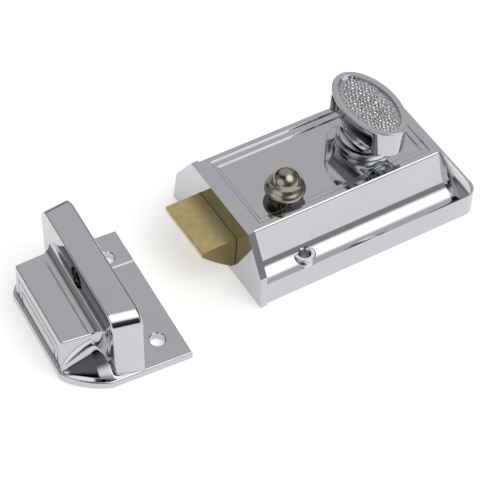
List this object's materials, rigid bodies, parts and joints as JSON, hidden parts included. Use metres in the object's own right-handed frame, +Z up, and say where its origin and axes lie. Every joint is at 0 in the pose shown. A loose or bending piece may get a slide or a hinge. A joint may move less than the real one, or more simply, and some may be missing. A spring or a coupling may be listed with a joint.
{
  "type": "rim night latch",
  "caption": "Surface-mounted night latch with a sprung bevelled bolt, an oval turn knob and a sliding snib, beside its loose box staple.",
  "frame": {"origin": "centre of the bounding box's lower face, on the surface that the case's back and the staple's face plate lie on", "axes": "+X from the staple past the bolt to the case's rear end, +Z up out of the door's face towards the room, +Y across the case"},
  "size_m": [0.1628, 0.065, 0.0434],
  "materials": {
    "chrome": "mirror-bright plating on a die-casting",
    "satin_brass": "satin, fine cast grain",
    "pearl_nickel": "smooth, warm dark plating",
    "plated_steel": "zinc-plated pressed steel",
    "spring_steel": "bright spring wire and strip"
  },
  "bodies": {
    "case": {"case_body": "chrome", "back_plate": "plated_steel", "back_plate_screw_1": "plated_steel", "back_plate_screw_2": "plated_steel", "back_plate_screw_3": "plated_steel", "back_plate_screw_4": "plated_steel", "knob_bush": "chrome", "snib_detent_spring": "spring_steel", "bolt_spring_1": "spring_steel", "bolt_spring_2": "spring_steel"},
    "bolt": {"latch_bolt": "satin_brass", "bolt_tail": "plated_steel", "tail_rivet_1": "plated_steel", "tail_rivet_2": "plated_steel"},
    "knob": {"turn_knob": "chrome", "knob_spindle": "plated_steel", "rollback_cam": "plated_steel", "cam_cross_pin": "spring_steel", "spindle_circlip": "spring_steel"},
    "snib": {"snib_button": "pearl_nickel", "snib_stem": "plated_steel", "snib_slider": "plated_steel"},
    "staple": {"staple_body": "chrome"}
  },
  "joints": [
    {"name": "knob_turn", "type": "hinge", "parent": "case", "child": "knob", "pos_m": [0.04985, 0.00348, 0.03], "axis": [0, 0, -1], "range_deg": [0, 50]},
    {"name": "bolt_slide", "type": "slide", "parent": "case", "child": "bolt", "axis": [1, 0, 0], "range_m": [0, 0.0125], "stiffness_N_per_m": 250, "springref_m": -0.012, "deforming": ["bolt_spring_1", "bolt_spring_2"]},
    {"name": "snib_slide", "type": "slide", "parent": "case", "child": "snib", "axis": [0, 1, 0], "range_m": [0, 0.0045]},
    {"name": "staple_place", "type": "slide", "parent": "case", "child": "staple", "axis": [1, 0, 0], "range_m": [-0.03, 0.01]}
  ],
  "couplings": [
    {"joint": "knob_turn", "follows": "bolt_slide", "rad_per_m": 69.8}
  ]
}
